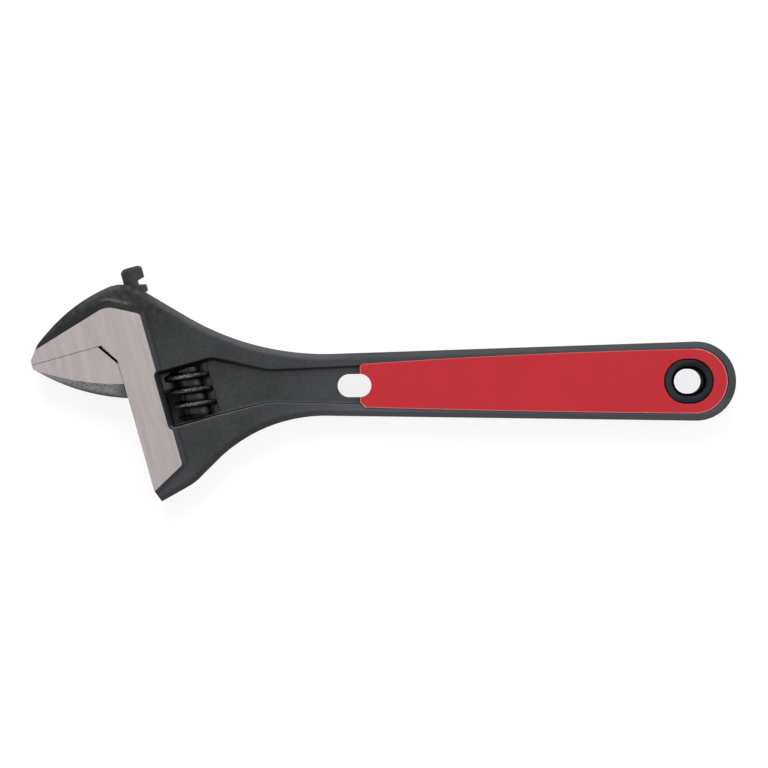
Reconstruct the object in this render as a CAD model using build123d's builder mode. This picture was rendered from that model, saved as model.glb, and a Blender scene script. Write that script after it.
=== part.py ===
"""Adjustable wrench of the 10-inch class, lying flat, in millimetres.

The origin is the middle of the hang hole at mid thickness. +X runs along the handle to its end, +Z is square
to the flat faces, and +Y points to the fixed-jaw side. The head has its own plane, turned by the head angle:
its x runs from the throat towards the handle, and its y runs up the slide, from the heel to the fixed jaw.
The jaws are closed.
"""

from build123d import *
from math import acos, atan2, cos, hypot, pi, radians, sin, tan
import os

os.makedirs("parts", exist_ok=True)

# Head: the corner where the fixed jaw's face meets the throat, and the angle of the jaws to the handle
head_angle = 15.0
corner_x = -208.0
corner_y = 16.6

# Half thicknesses, from the middle plane: ground lands, forged shoulders, handle flanges and the web
land_half = 8.5
shoulder_half = 6.9
flange_half = 5.5
web_half = 4.0
taper_start = -186.0
taper_end = -137.0

# Head outline, in the head plane
jaw_length = 30.2
tip_height = 1.6
tip_slope = 53.0
crown_start = (-31.6, 1.9)
crown_mid = (-10.9, 16.0)
peak = (10.4, 20.4)
peak_round = 13.0
relief_jaw = 4.2
relief_throat = 6.6
throat_length = 55.6
heel_depth = 60.0
heel_bevel = 1.4
heel_shoulder = (14.1, -56.9)
heel_round = 20.0
overrun = 6.0

# Neck corners and handle end, in the wrench's own frame
neck_top = (-157.3, 11.0)
neck_top_round = 100.0
neck_low = (-154.6, -10.2)
neck_low_round = 56.0
end_center_x = 3.0
end_radius = 14.35
edge_bevel = 1.8

# Recess on both faces: the pocket round the worm window and the web of the handle, at its floor
recess_draft = 24.0
recess_top = (-152.0, 5.5)
recess_low = (-152.0, -5.1)
recess_round = 24.0
recess_end_radius = 10.8
pocket_top_x = 32.8
pocket_low_x = 29.0
pocket_round = 5.0
pocket_corner = 0.4

# Ground land of the fixed head, in the head plane
land_draft = 45.0
land_width = 12.2
land_left = (-36.0, 2.5)
land_peak = (1.1, 13.2)
land_peak_round = 8.0
land_shoulder = 7.2
land_heel = -49.2
land_heel_slope = 28.0
land_round = 1.6

# Rack: a round rod with slanted teeth, in a bored channel that a slot opens to the throat
rack_x = 13.1
rack_radius = 4.1
rack_top = 24.7
rack_bottom = -22.4
rack_tip = 16.9
rack_end_tooth = 5.0
rack_end_chamfer = 1.0
slide_clearance = 0.2
web_thickness = 5.2
tooth_clearance = 0.25
gullet_clearance = 0.45

# Worm: single start, left hand
worm_x = 22.6
worm_y = -25.2
worm_radius = 8.0
worm_root = 5.1
worm_length = 18.2
worm_pitch = 5.2
ridge_crest = 1.4
ridge_waist = 6.4
ridge_flank = 11.0
ridge_flare = 16.0
ridge_bevel = 0.4
end_turns = 2
hub_length = 1.2
front_crest = 1.1
end_play = 0.3
window_clearance = 0.6

# Worm pin and spring
pin_radius = 1.8
pin_fit = 0.02
running_fit = 0.06
pin_top_depth = 6.0
pin_head_radius = 2.6
pin_head_length = 4.5
pin_recess = 1.0
pin_slot_width = 0.9
pin_slot_depth = 1.2
spring_wire = 0.6
spring_radius = 2.6
spring_pitch = 1.3
spring_turns = 3.5
spring_sides = 6
turn_samples = 24
spring_seat = 3.2

# Movable jaw, in the head plane
closed_gap = 0.05
throat_gap = 0.15
relief_gap = 1.4
jaw_base = 20.8
jaw_under_mid = (-16.7, -12.9)
jaw_under_tip = (-29.2, -2.7)
jaw_edge_half = 4.4
jaw_land_base = 15.3
jaw_land_mid = (-15.3, -10.0)
jaw_land_tip = (-28.9, -2.4)
web_drop = 0.6

# Handle slot, hang hole with its raised rim, and the panel in the front recess
slot_x = -121.0
slot_length = 12.3
slot_width = 8.4
hang_length = 10.7
hang_width = 9.0
rim_width = 3.55
rim_half = 6.4
rim_round = 1.3
hole_bevel = 1.2
panel_half = 5.9
panel_start = -118.9
panel_top = 7.75
panel_top_mid = (-57.3, 10.5)
panel_low = -7.9
panel_low_mid = (-57.6, -10.15)
panel_end_x = 2.3
panel_end_radius = 11.7
panel_gap = 0.12
panel_round = 1.2
panel_corner = 1.8

# Planes that carry the head's pieces
head = Plane(
    origin=(corner_x, corner_y, 0),
    x_dir=(cos(radians(head_angle)), sin(radians(head_angle)), 0),
    z_dir=(0, 0, 1),
)
slide_up = head.y_dir
rack_plane = Plane(origin=head.from_local_coords((rack_x, 0, 0)), x_dir=head.x_dir, z_dir=slide_up)
worm_plane = Plane(origin=head.from_local_coords((worm_x, worm_y, 0)), x_dir=(0, 0, 1), z_dir=slide_up)

# Sizes that follow from the ones above
window_left = rack_x
window_right = worm_x + worm_root + window_clearance
window_top = worm_y + worm_length / 2 + end_play
window_low = worm_y - worm_length / 2 - end_play
channel_radius = rack_radius + slide_clearance
slot_half = web_thickness / 2 + slide_clearance
rim_length = hang_length + 2 * rim_width
rim_height = hang_width + 2 * rim_width
reach = 3 * land_half


def on_head(x, y):
    """Return a head-plane point in the wrench's own frame."""
    spot = head.from_local_coords((x, y, 0))
    return (spot.X, spot.Y)


def in_head(point):
    """Return a point of the wrench's own frame in the head plane."""
    spot = head.to_local_coords((point[0], point[1], 0))
    return (spot.X, spot.Y)


def tangent_point(point, center_x, radius):
    """Return where the line from a point touches the end circle, on the point's own side of the X axis."""
    side = 1 if point[1] > 0 else -1
    bearing = atan2(point[1], point[0] - center_x)
    opening = acos(radius / hypot(point[0] - center_x, point[1]))
    angle = bearing - side * opening
    return (center_x + radius * cos(angle), radius * sin(angle))


def nearest(corners, point):
    """Return the corner of a sketch that lies nearest to a point of the wrench's own frame."""
    return corners.sort_by_distance((point[0], point[1], 0))[0]


def outside_mouth(edge):
    """Tell whether an edge of the blank lies clear of the mouth, which is cut out later."""
    middle = head.to_local_coords(edge @ 0.5)
    return middle.Y > 0 or middle.X > -overrun


def at_rim_level(edge):
    """Tell whether an edge lies in one of the two top planes of the hang hole's rim."""
    return all(abs(abs((edge @ place).Z) - rim_half) < 0.001 for place in (0, 0.5))


def handle_outline(upper, lower, radius):
    """Draw the two sides of the handle, or of its recess, and the round end that joins them."""
    upper_end = tangent_point(upper, end_center_x, radius)
    lower_end = tangent_point(lower, end_center_x, radius)
    Line(upper, upper_end)
    ThreePointArc(upper_end, (end_center_x + radius, 0), lower_end)
    Line(lower_end, lower)


# Lines of the lower neck and the heel, in the head plane
neck_low_head = in_head(neck_low)
neck_rise = (neck_low_head[1] - heel_shoulder[1]) / (neck_low_head[0] - heel_shoulder[0])
heel_rise = (heel_shoulder[1] + heel_depth) / (heel_shoulder[0] - heel_bevel)
pin_end = heel_shoulder[1] + (worm_x + pin_head_radius - heel_shoulder[0]) * neck_rise + pin_recess

# Outline of the forging from above, with the mouth still filled
with BuildSketch() as plan:
    with BuildLine():
        ThreePointArc(on_head(*crown_start), on_head(*crown_mid), on_head(*peak))
        Line(on_head(*peak), neck_top)
        handle_outline(neck_top, neck_low, end_radius)
        Polyline(
            neck_low,
            on_head(*heel_shoulder),
            on_head(-overrun, -heel_depth - (heel_bevel + overrun) * heel_rise),
            on_head(-jaw_length, -heel_depth / 2),
            on_head(*crown_start),
        )
    make_face()
    fillet(nearest(plan.vertices(), on_head(*peak)), peak_round)
    fillet(nearest(plan.vertices(), neck_top), neck_top_round)
    fillet(nearest(plan.vertices(), neck_low), neck_low_round)
    fillet(nearest(plan.vertices(), on_head(*heel_shoulder)), heel_round)

# Ground lands of the head, raised above the shoulders with drafted sides
heel_run = (land_width + overrun) * tan(radians(land_heel_slope))
land_rise = land_half - shoulder_half + edge_bevel
with BuildPart() as lands:
    for side in (1, -1):
        with BuildSketch(head.offset(side * land_half)) as land:
            with BuildLine():
                Polyline(
                    land_left,
                    land_peak,
                    (land_width, land_shoulder),
                    (land_width, land_heel),
                    (-overrun, land_heel - heel_run),
                    (land_left[0], land_heel - heel_run),
                    close=True,
                )
            make_face()
            fillet(land.vertices().sort_by_distance((*land_peak, 0))[1:], land_round)
            fillet(nearest(land.vertices(), land_peak), land_peak_round)
        extrude(amount=-side * land_rise, taper=-land_draft)
    extrude(plan.sketch, amount=land_half, both=True, mode=Mode.INTERSECT)

# Body: one forging with the fixed jaw, the neck and the handle
with BuildPart() as body:
    extrude(plan.sketch, amount=shoulder_half, both=True)

    # Side view: the shoulders run down to the thinner handle in an S curve
    taper_middle = (taper_start + taper_end) / 2
    middle_half = (shoulder_half + flange_half) / 2
    with BuildSketch(Plane.XZ):
        with BuildLine():
            Line((2 * corner_x, 0), (2 * corner_x, shoulder_half))
            Line((2 * corner_x, shoulder_half), (taper_start, shoulder_half))
            drop = TangentArc((taper_start, shoulder_half), (taper_middle, middle_half), tangent=(1, 0))
            TangentArc(drop @ 1, (taper_end, flange_half), tangent=drop % 1)
            Line((taper_end, flange_half), (-corner_x, flange_half))
            Line((-corner_x, flange_half), (-corner_x, 0))
            Line((-corner_x, 0), (2 * corner_x, 0))
        make_face()
        mirror(about=Plane.XZ)
    extrude(amount=-2 * corner_x, both=True, mode=Mode.INTERSECT)

    # Bevelled outer edges of the forging, apart from the mouth's side
    rims = body.edges().filter_by(Axis.Z, reverse=True).filter_by(Axis.Y, reverse=True)
    chamfer(rims.filter_by(outside_mouth), edge_bevel)

    add(lands.part)

    # Mouth: the jaw face, the filled corner, the throat and the end of the jaw
    tip_run = 2 * overrun / tan(radians(tip_slope))
    with BuildSketch(head):
        Polygon(
            (-relief_jaw, 0),
            (-jaw_length, 0),
            (-jaw_length, tip_height),
            (-jaw_length + tip_run, tip_height + 2 * overrun),
            (-2 * jaw_length, tip_height + 2 * overrun),
            (-2 * jaw_length, -2 * heel_depth),
            (heel_bevel, -2 * heel_depth),
            (heel_bevel, -heel_depth),
            (0, -throat_length),
            (0, -relief_throat),
            align=None,
        )
    extrude(amount=reach, both=True, mode=Mode.SUBTRACT)

    # Channel for the rack, open to the throat and at both ends
    with BuildSketch(rack_plane.offset(-heel_depth)):
        Circle(channel_radius)
    extrude(amount=2 * heel_depth, mode=Mode.SUBTRACT)
    with BuildSketch(head):
        with Locations((rack_x / 2, -relief_throat)):
            Rectangle(rack_x, heel_depth, align=(Align.CENTER, Align.MAX))
    extrude(amount=slot_half, both=True, mode=Mode.SUBTRACT)

    # Window for the worm, right through the head, and the bore that its ridges turn in
    with BuildSketch(head):
        with Locations((window_left, window_low)):
            Rectangle(window_right - window_left, window_top - window_low, align=Align.MIN)
    extrude(amount=reach, both=True, mode=Mode.SUBTRACT)
    with BuildSketch(worm_plane.offset(window_low - worm_y)):
        Circle(worm_radius + window_clearance)
    extrude(amount=window_top - window_low, mode=Mode.SUBTRACT)

    # Recesses with drafted sides: thumb pockets round the window, running into the web of the handle
    pocket_top = on_head(pocket_top_x, window_top)
    pocket_low = on_head(pocket_low_x, window_low)
    for side in (1, -1):
        with BuildSketch(Plane.XY.offset(side * web_half)) as recess:
            with BuildLine():
                handle_outline(recess_top, recess_low, recess_end_radius)
                Polyline(
                    recess_low,
                    pocket_low,
                    on_head(window_left, window_low),
                    on_head(window_left, window_top),
                    pocket_top,
                    recess_top,
                )
            make_face()
            fillet(nearest(recess.vertices(), recess_top), recess_round)
            fillet(nearest(recess.vertices(), recess_low), recess_round)
            fillet(nearest(recess.vertices(), pocket_top), pocket_round)
            fillet(nearest(recess.vertices(), pocket_low), pocket_round)
            fillet(nearest(recess.vertices(), on_head(window_left, window_low)), pocket_corner)
            fillet(nearest(recess.vertices(), on_head(window_left, window_top)), pocket_corner)
        extrude(amount=side * land_half, taper=-recess_draft, mode=Mode.SUBTRACT)

    # Raised rim of the hang hole, the hole itself and the slot in the handle
    with BuildSketch():
        SlotOverall(rim_length, rim_height)
    extrude(amount=rim_half, both=True)
    rim_edges = body.edges().filter_by_position(Axis.X, -rim_length / 2, rim_length / 2)
    fillet(rim_edges.filter_by(at_rim_level), rim_round)
    with BuildSketch():
        SlotOverall(hang_length, hang_width)
        with Locations((slot_x, 0)):
            SlotOverall(slot_length, slot_width)
    extrude(amount=reach, both=True, mode=Mode.SUBTRACT)
    hole_edges = body.edges().filter_by_position(Axis.X, -hang_length / 2, hang_length / 2)
    chamfer(hole_edges.filter_by(at_rim_level), hole_bevel)

    # Bore for the worm pin: through the lower neck, and blind above the window
    with BuildSketch(worm_plane):
        Circle(pin_radius + pin_fit)
    extrude(amount=worm_length / 2 + end_play + pin_top_depth, mode=Mode.SUBTRACT)
    with BuildSketch(worm_plane):
        Circle(pin_radius + pin_fit)
    extrude(amount=-heel_depth, mode=Mode.SUBTRACT)
    with BuildSketch(worm_plane.offset(pin_end + pin_head_length - worm_y)):
        Circle(pin_head_radius + pin_fit)
    extrude(amount=-heel_depth, mode=Mode.SUBTRACT)

body.part.label = "body"
export_step(body.part, "parts/body.step")


# Movable jaw: lower jaw, web and toothed rack in one forging
def jaw_outline(base, middle, tip):
    """Draw the movable jaw's outline: face, relieved corner, throat side and curved underside."""
    Polyline(
        (-jaw_length, -tip_height),
        (-jaw_length, -closed_gap),
        (-relief_jaw - relief_gap, -closed_gap),
        (-throat_gap, -relief_throat - relief_gap),
        (-throat_gap, -base),
    )
    ThreePointArc((-throat_gap, -base), middle, tip)
    Line(tip, (-jaw_length, -tip_height))


lead_slope = worm_pitch / (2 * pi * (worm_x - (rack_tip + worm_x - worm_radius) / 2))
gullet_root = worm_x - worm_radius - gullet_clearance
gullet_half = ridge_crest / 2 + tooth_clearance
gullet_mouth = rack_x + rack_radius + slide_clearance
gullet_mouth_half = gullet_half + (gullet_mouth - gullet_root) * tan(radians(ridge_flank))
gullet_phase = worm_y + front_crest + worm_pitch / 4
gullet_count = int((rack_top - rack_end_tooth - gullet_phase) / worm_pitch) + 1

with BuildPart() as movable_jaw:
    with BuildSketch(rack_plane.offset(rack_bottom)):
        Circle(rack_radius)
    extrude(amount=rack_top - rack_bottom)
    chamfer(movable_jaw.edges().filter_by(GeomType.CIRCLE), rack_end_chamfer)
    with BuildSketch(head):
        with BuildLine():
            jaw_outline(jaw_base, jaw_under_mid, jaw_under_tip)
        make_face()
    extrude(amount=jaw_edge_half, both=True)
    for side in (1, -1):
        with BuildSketch(head.offset(side * jaw_edge_half)):
            with BuildLine():
                jaw_outline(jaw_base, jaw_under_mid, jaw_under_tip)
            make_face()
        with BuildSketch(head.offset(side * land_half)):
            with BuildLine():
                jaw_outline(jaw_land_base, jaw_land_mid, jaw_land_tip)
            make_face()
        loft(ruled=True)
    with BuildSketch(head):
        with Locations((-throat_gap, -jaw_base)):
            Rectangle(
                rack_x + throat_gap, jaw_base - relief_throat - relief_gap - web_drop, align=Align.MIN
            )
    extrude(amount=web_thickness / 2, both=True)
    with BuildSketch(head):
        with Locations((rack_tip, rack_bottom)):
            Rectangle(rack_radius, rack_top - rack_bottom, align=Align.MIN)
    extrude(amount=rack_radius, both=True, mode=Mode.SUBTRACT)
    with BuildSketch(head.offset(-rack_radius)):
        for count in range(-1, gullet_count):
            rise = gullet_phase + count * worm_pitch + lead_slope * rack_radius
            Polygon(
                (gullet_root, rise - gullet_half),
                (gullet_mouth, rise - gullet_mouth_half),
                (gullet_mouth, rise + gullet_mouth_half),
                (gullet_root, rise + gullet_half),
                align=None,
            )
    slant = Vector(0, 0, 1) - slide_up * lead_slope
    extrude(amount=2 * rack_radius * slant.length, dir=slant, mode=Mode.SUBTRACT)
movable_jaw.part.label = "movable_jaw"
export_step(movable_jaw.part, "parts/movable_jaw.step")

# Worm: made about the Z axis, with the front of the wrench on +X, then set on its own plane
ridge_turns = 2 * (int(worm_length / 2 / worm_pitch) + end_turns)
ridge_start = front_crest - worm_pitch * ridge_turns / 2
ridge_base = worm_root - ridge_bevel
ridge_waist_half = ridge_crest / 2 + (worm_radius - ridge_waist) * tan(radians(ridge_flank))
ridge_base_half = ridge_waist_half + (ridge_waist - ridge_base) * tan(radians(ridge_flare))
spring_length = spring_turns * spring_pitch + spring_wire
spring_seat_depth = spring_length - end_play

with BuildPart() as worm_turned:
    with BuildLine() as ridge_line:
        Helix(worm_pitch, ridge_turns * worm_pitch, worm_radius, center=(0, 0, ridge_start), lefthand=True)
    with BuildSketch(Plane.XZ) as ridge:
        Polygon(
            (ridge_base, ridge_start - ridge_base_half),
            (ridge_waist, ridge_start - ridge_waist_half),
            (worm_radius, ridge_start - ridge_crest / 2),
            (worm_radius, ridge_start + ridge_crest / 2),
            (ridge_waist, ridge_start + ridge_waist_half),
            (ridge_base, ridge_start + ridge_base_half),
            align=None,
        )
        chamfer(ridge.vertices().group_by(Axis.X)[-1], ridge_bevel)
    sweep(path=ridge_line.line, is_frenet=True)
    Cylinder(worm_root, 2 * ridge_turns * worm_pitch)
    Cylinder(2 * worm_radius, worm_length, mode=Mode.INTERSECT)
    with BuildSketch(Plane.XY.offset(-worm_length / 2)):
        Circle(2 * worm_radius)
        Circle(worm_root, mode=Mode.SUBTRACT)
    extrude(amount=hub_length, mode=Mode.SUBTRACT)
    Cylinder(pin_radius + running_fit, worm_length, mode=Mode.SUBTRACT)
    with BuildSketch(Plane.XY.offset(worm_length / 2)):
        Circle(spring_seat)
    extrude(amount=-spring_seat_depth, mode=Mode.SUBTRACT)
worm = worm_plane.from_local_coords(worm_turned.part)
worm.label = "worm"
export_step(worm, "parts/worm.step")

# Worm pin: plain shank with a slotted screw head
shank_top = worm_length / 2 + end_play + pin_top_depth - pin_recess
with BuildPart() as worm_pin:
    with BuildSketch(worm_plane.offset(pin_end - worm_y)):
        Circle(pin_head_radius)
    extrude(amount=pin_head_length)
    with BuildSketch(worm_plane.offset(pin_end - worm_y)):
        Circle(pin_radius)
    extrude(amount=shank_top + worm_y - pin_end)
    with BuildSketch(worm_plane.offset(pin_end - worm_y)):
        Rectangle(3 * pin_head_radius, pin_slot_width)
    extrude(amount=pin_slot_depth, mode=Mode.SUBTRACT)
worm_pin.part.label = "worm_pin"
export_step(worm_pin.part, "parts/worm_pin.step")


# Worm spring: half turns of wire, each a pair of arcs that meet on a common tangent
def coil_point(half):
    """Return a point of the coil's centre line and its direction there, after a count of half turns."""
    angle = half * pi
    slope = spring_pitch / (2 * pi)
    point = Vector(spring_radius * cos(angle), spring_radius * sin(angle), half * spring_pitch / 2)
    direction = Vector(-spring_radius * sin(angle), spring_radius * cos(angle), slope).normalized()
    return point, direction


def biarc(start, start_direction, end, end_direction):
    """Draw two arcs that leave the start and reach the end along the given directions."""
    chord = end - start
    spread = start_direction + end_direction
    blend = 2 * (1 - start_direction.dot(end_direction))
    along = chord.dot(spread)
    step = (-along + (along * along + blend * chord.dot(chord)) ** 0.5) / blend
    first = start + start_direction * step
    last = end - end_direction * step
    middle = (first + last) * 0.5
    TangentArc(start, middle, tangent=start_direction)
    TangentArc(middle, end, tangent=last - first)


with BuildPart() as spring_coiled:
    with BuildLine() as coil:
        for half in range(int(2 * spring_turns)):
            biarc(*coil_point(half), *coil_point(half + 1))
    with BuildSketch(Plane(origin=coil.line @ 0, z_dir=coil.line % 0)):
        RegularPolygon(spring_wire / 2, spring_sides)
    sweep(path=coil.line)
spring_floor = worm_length / 2 - spring_seat_depth + spring_wire / 2
worm_spring = worm_plane.offset(spring_floor).from_local_coords(spring_coiled.part)
worm_spring.label = "worm_spring"
export_step(worm_spring, "parts/worm_spring.step")

# Least gap between the spring's turns, over points that lie half a turn or more apart on the wire
wire_steps = int(spring_turns * turn_samples)
wire_points = [coil.line @ (step / wire_steps) for step in range(wire_steps + 1)]
half_turn = int(turn_samples / 2)
spans = [
    (wire_points[last] - wire_points[first]).length
    for first in range(len(wire_points))
    for last in range(first + half_turn, len(wire_points))
]
print("least gap in the spring:", round(min(spans) - spring_wire, 3), "mm")

# Handle panel: a coloured plate on the flanges of the handle, with a plug that fills the front recess, and
# windows for the hang hole's rim and the slot
panel_end_top = (panel_end_x, panel_end_radius)
panel_end_low = (panel_end_x, -panel_end_radius)
with BuildPart() as handle_panel:
    with BuildSketch(Plane.XY.offset(flange_half)) as plate:
        with BuildLine():
            ThreePointArc((panel_start, panel_top), panel_top_mid, panel_end_top)
            ThreePointArc(panel_end_top, (panel_end_x + panel_end_radius, 0), panel_end_low)
            ThreePointArc(panel_end_low, panel_low_mid, (panel_start, panel_low))
            Line((panel_start, panel_low), (panel_start, panel_top))
        make_face()
        fillet(nearest(plate.vertices(), (panel_start, panel_top)), panel_round)
        chamfer(nearest(plate.vertices(), (panel_start, panel_low)), panel_corner)
    extrude(amount=web_half - flange_half)
    with BuildSketch(Plane.XY.offset(web_half)):
        with BuildLine():
            handle_outline(
                (recess_top[0], recess_top[1] - panel_gap),
                (recess_low[0], recess_low[1] + panel_gap),
                recess_end_radius - panel_gap,
            )
            Line((recess_low[0], recess_low[1] + panel_gap), (recess_top[0], recess_top[1] - panel_gap))
        make_face()
    extrude(amount=flange_half - web_half, taper=-recess_draft, mode=Mode.INTERSECT)
    extrude(plate.sketch, amount=panel_half - flange_half)
    with BuildSketch():
        SlotOverall(rim_length + 2 * panel_gap, rim_height + 2 * panel_gap)
        with Locations((slot_x, 0)):
            SlotOverall(slot_length, slot_width)
    extrude(amount=reach, mode=Mode.SUBTRACT)
handle_panel.part.label = "handle_panel"
export_step(handle_panel.part, "parts/handle_panel.step")
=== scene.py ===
"""Adjustable wrench: its finishes, its knurled worm, and the table, light and camera around it.

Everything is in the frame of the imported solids. Sizes of the wrench are written in millimetres and made metres
where a mesh is filled; those of the studio are metres. The head has its own two directions: "along" runs from
the throat to the handle, and "up" runs up the slide, from the heel to the fixed jaw.

A Span holds the two ends between which a value rises, in the order that Value.rise takes them.
"""

import logging
from dataclasses import dataclass
from enum import Enum
from math import atan2, cos, hypot, pi, radians, sin, tan
from typing import Any

import bpy
import numpy as np
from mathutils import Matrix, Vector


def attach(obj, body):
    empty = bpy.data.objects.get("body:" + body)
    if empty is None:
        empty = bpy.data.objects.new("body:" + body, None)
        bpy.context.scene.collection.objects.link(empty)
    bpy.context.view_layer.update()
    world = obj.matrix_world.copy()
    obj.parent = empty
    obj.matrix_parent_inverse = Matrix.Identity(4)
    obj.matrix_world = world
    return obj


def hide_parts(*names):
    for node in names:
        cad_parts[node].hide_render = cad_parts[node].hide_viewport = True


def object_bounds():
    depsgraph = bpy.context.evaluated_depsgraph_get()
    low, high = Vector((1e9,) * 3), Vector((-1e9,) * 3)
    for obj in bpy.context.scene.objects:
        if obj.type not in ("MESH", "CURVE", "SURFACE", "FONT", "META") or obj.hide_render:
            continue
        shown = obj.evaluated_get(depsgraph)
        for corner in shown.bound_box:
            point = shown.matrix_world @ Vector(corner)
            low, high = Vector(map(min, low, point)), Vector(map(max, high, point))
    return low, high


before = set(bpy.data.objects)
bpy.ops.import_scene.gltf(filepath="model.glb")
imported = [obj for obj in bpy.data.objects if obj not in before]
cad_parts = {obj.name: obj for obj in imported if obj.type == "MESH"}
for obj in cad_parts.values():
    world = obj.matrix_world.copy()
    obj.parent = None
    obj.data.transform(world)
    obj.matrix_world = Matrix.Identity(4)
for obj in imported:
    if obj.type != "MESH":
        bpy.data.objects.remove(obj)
cad_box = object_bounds()

log = logging.getLogger("wrench")

MM = 0.001
BEVEL_SAMPLES = 6
NOISE_ROUGHNESS = 0.55
Socket = bpy.types.NodeSocket
Color = tuple[float, float, float]
Point = tuple[float, float]
Span = tuple[float, float]


@dataclass(frozen=True)
class HeadFrame:
    """The head's own directions: its corner, where the jaw face meets the throat, and its turn.

    The two levels are the heights of the ground lands and of the forged shoulder over mid thickness.
    """

    corner: Point = (-208.0, 16.6)
    turn: float = radians(15.0)
    land_level: float = 8.5
    shoulder_level: float = 6.9

    def axes(self) -> tuple[np.ndarray, np.ndarray]:
        """Return the unit vectors along the head and up its slide."""
        along = np.array((cos(self.turn), sin(self.turn), 0.0))
        up = np.array((-sin(self.turn), cos(self.turn), 0.0))
        return along, up

    def point(self, along: float, up: float) -> np.ndarray:
        """Return a point of the head, at mid thickness, in the wrench's own frame."""
        along_axis, up_axis = self.axes()
        return np.array((*self.corner, 0.0)) + along * along_axis + up * up_axis


@dataclass(frozen=True)
class WormSizes:
    """What the worm's shape and its finish share: its middle in the head's directions, and its ridge."""

    center: Point = (22.6, -25.2)
    crest_radius: float = 8.0
    root_radius: float = 5.1
    pitch: float = 5.2
    front_crest: float = 1.1


HEAD = HeadFrame()
WORM = WormSizes()


class Value:
    """A number that varies over a surface: a socket whose operators add Math nodes."""

    def __init__(self, graph: "Graph", socket: Socket) -> None:
        """Keep the graph that owns the socket, and the socket."""
        self.graph = graph
        self.socket = socket

    def math(self, operation: str, *terms: Any) -> "Value":
        """Add a Math node.

        Args:
            operation: the Math node's operation.
            terms: its values or links, in order.

        Returns:
            The node's result.
        """
        node = self.graph.node("ShaderNodeMath", {"operation": operation}, dict(enumerate(terms)))
        return Value(self.graph, node.outputs[0])

    def __add__(self, other: Any) -> "Value":
        """Add."""
        return self.math("ADD", self, other)

    def __sub__(self, other: Any) -> "Value":
        """Take away."""
        return self.math("SUBTRACT", self, other)

    def __rsub__(self, other: Any) -> "Value":
        """Take this value from a number."""
        return self.math("SUBTRACT", other, self)

    def __mul__(self, other: Any) -> "Value":
        """Multiply."""
        return self.math("MULTIPLY", self, other)

    def __truediv__(self, other: Any) -> "Value":
        """Divide."""
        return self.math("DIVIDE", self, other)

    def __pow__(self, other: Any) -> "Value":
        """Raise to a power."""
        return self.math("POWER", self, other)

    def __abs__(self) -> "Value":
        """Drop the sign."""
        return self.math("ABSOLUTE", self)

    def least(self, other: Any) -> "Value":
        """Return the lesser of two values."""
        return self.math("MINIMUM", self, other)

    def most(self, other: Any) -> "Value":
        """Return the greater of two values."""
        return self.math("MAXIMUM", self, other)

    def rise(self, low: float, high: float) -> "Value":
        """Go smoothly from 0 to 1.

        Args:
            low: where the result leaves 0.
            high: where it reaches 1. With high below low, the result falls from 1 to 0.

        Returns:
            The eased value.
        """
        ends = {"From Min": min(low, high), "From Max": max(low, high)}
        sides = {"To Min": 0.0, "To Max": 1.0} if low < high else {"To Min": 1.0, "To Max": 0.0}
        node = self.graph.node(
            "ShaderNodeMapRange", {"interpolation_type": "SMOOTHSTEP"}, {"Value": self, **ends, **sides}
        )
        return Value(self.graph, node.outputs[0])


class Graph:
    """A node tree in the making: of a material, a sky or a modifier."""

    def __init__(self, tree: bpy.types.NodeTree) -> None:
        """Keep the tree."""
        self.tree = tree

    def node(self, kind: str, settings: dict[str, Any] | None = None, inputs: dict | None = None) -> bpy.types.Node:
        """Add any node.

        Args:
            kind: the node's type.
            settings: its properties, which are set first.
            inputs: values or links for its sockets, by name or number.

        Returns:
            The node.
        """
        node = self.tree.nodes.new(kind)
        for name, setting in (settings or {}).items():
            setattr(node, name, setting)
        for key, source in (inputs or {}).items():
            self.feed(node.inputs[key], source)
        return node

    def feed(self, socket: Socket, source: Any) -> None:
        """Link a value or a socket to a socket, or set a plain number or colour on it."""
        link = source.socket if isinstance(source, Value) else source
        if isinstance(link, Socket):
            self.tree.links.new(link, socket)
        elif isinstance(link, tuple) and socket.type == "RGBA":
            socket.default_value = (*link, 1.0)
        else:
            socket.default_value = link

    def blend(self, factor: Any, first: Any, second: Any) -> Socket:
        """Mix two colours.

        Args:
            factor: 0 for the first colour, 1 for the second.
            first: a colour or a colour socket.
            second: a colour or a colour socket.

        Returns:
            The mixed colour.
        """
        node = self.node("ShaderNodeMix", {"data_type": "RGBA"}, {0: factor, 6: first, 7: second})
        return node.outputs[2]

    def shown(self) -> Value:
        """Return 1 on the rays that show a background: the camera's, and the glossy and clear ones."""
        path = self.node("ShaderNodeLightPath").outputs
        camera, glossy, clear = (Value(self, path[f"Is {ray} Ray"]) for ray in ("Camera", "Glossy", "Transmission"))
        return camera.most(glossy).most(clear)


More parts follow.
